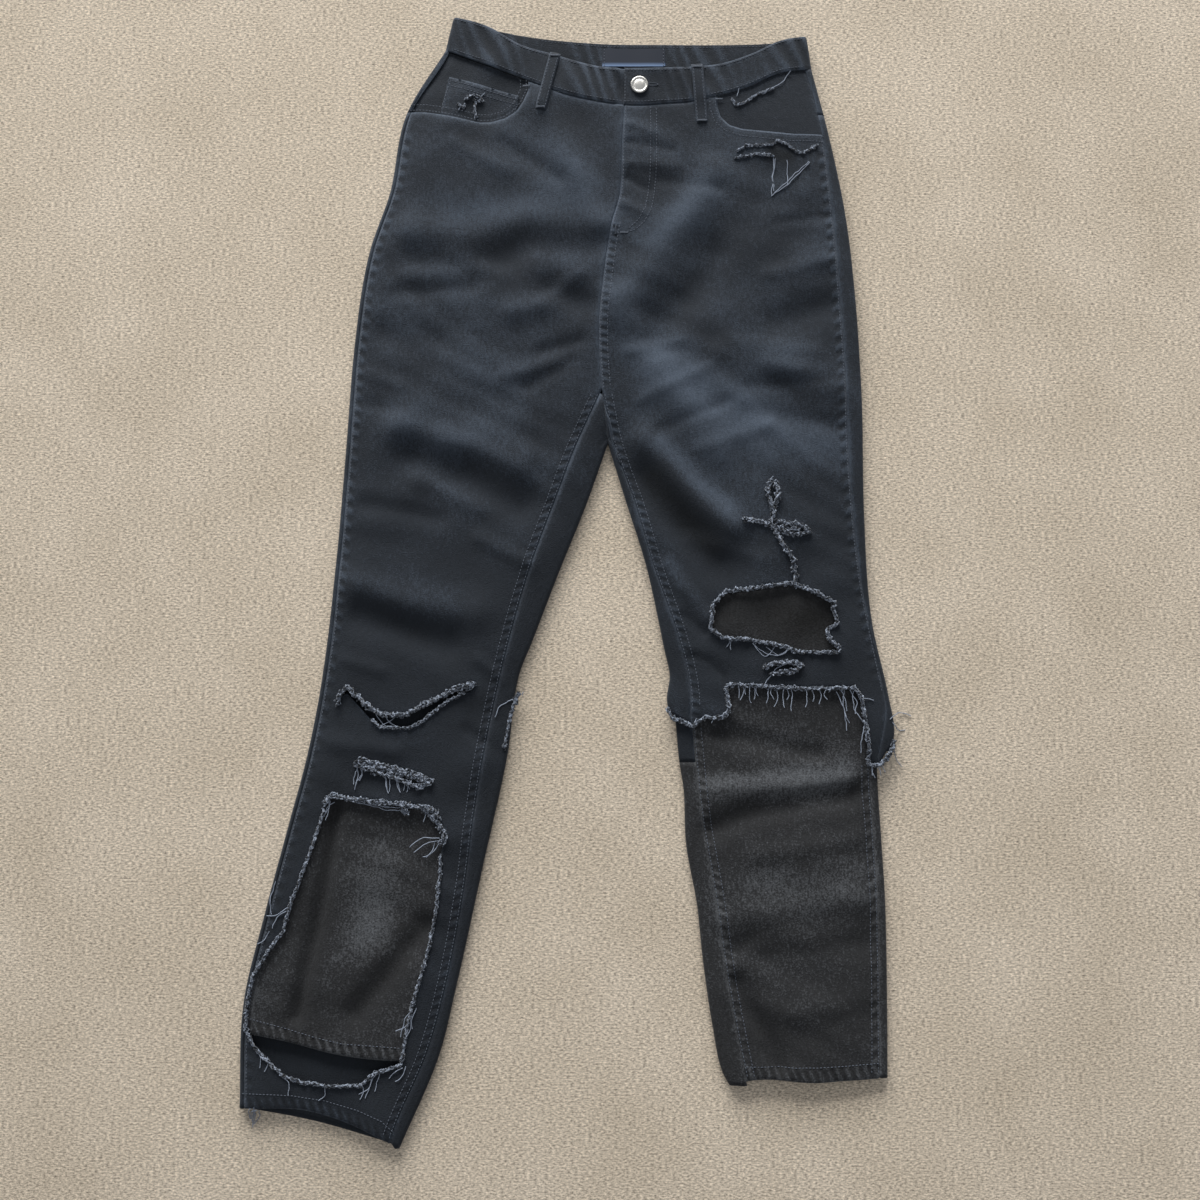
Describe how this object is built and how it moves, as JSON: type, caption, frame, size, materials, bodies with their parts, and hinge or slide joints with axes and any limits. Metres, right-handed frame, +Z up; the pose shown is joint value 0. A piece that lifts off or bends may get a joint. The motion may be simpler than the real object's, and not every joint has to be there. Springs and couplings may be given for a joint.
{
  "type": "ripped jeans",
  "caption": "High-waisted slim ripped jeans laid flat, front up: washed-black denim cut open at the knees and one shin over a second, grey pair of legs.",
  "frame": {"origin": "middle of the laid-out jeans' outline, on the surface they lie on", "axes": "+Z up, out of the front of the jeans; +Y from the hems towards the waist; +X towards the wearer's left leg"},
  "size_m": [0.6329, 1.132, 0.0202],
  "materials": {
    "outer_denim": "washed-black cotton twill, matt, faded blue-grey on its ridges and along its seams",
    "under_denim": "charcoal cotton denim with a salt-and-pepper face, matt",
    "label_fabric": "plain dark woven tape with a slight sheen",
    "button_metal": "dull silver, brushed, with a rolled rim"
  },
  "bodies": {
    "root": {"front_right": "outer_denim", "front_left": "outer_denim", "back_right": "outer_denim", "back_left": "outer_denim", "yoke_right": "outer_denim", "yoke_left": "outer_denim", "under_leg_front_right": "under_denim", "under_leg_back_right": "under_denim", "under_leg_front_left": "under_denim", "under_leg_back_left": "under_denim", "under_leg_back_left_upper": "outer_denim", "pocket_facing_right": "outer_denim", "pocket_facing_left": "outer_denim", "coin_pocket": "outer_denim", "back_pocket_right": "outer_denim", "back_pocket_left": "outer_denim", "waistband": "outer_denim", "waist_label": "label_fabric", "waist_button": "button_metal", "belt_loop_front_1": "outer_denim", "belt_loop_front_2": "outer_denim", "belt_loop_back_1": "outer_denim", "belt_loop_back_2": "outer_denim", "belt_loop_back_3": "outer_denim"}
  },
  "joints": []
}
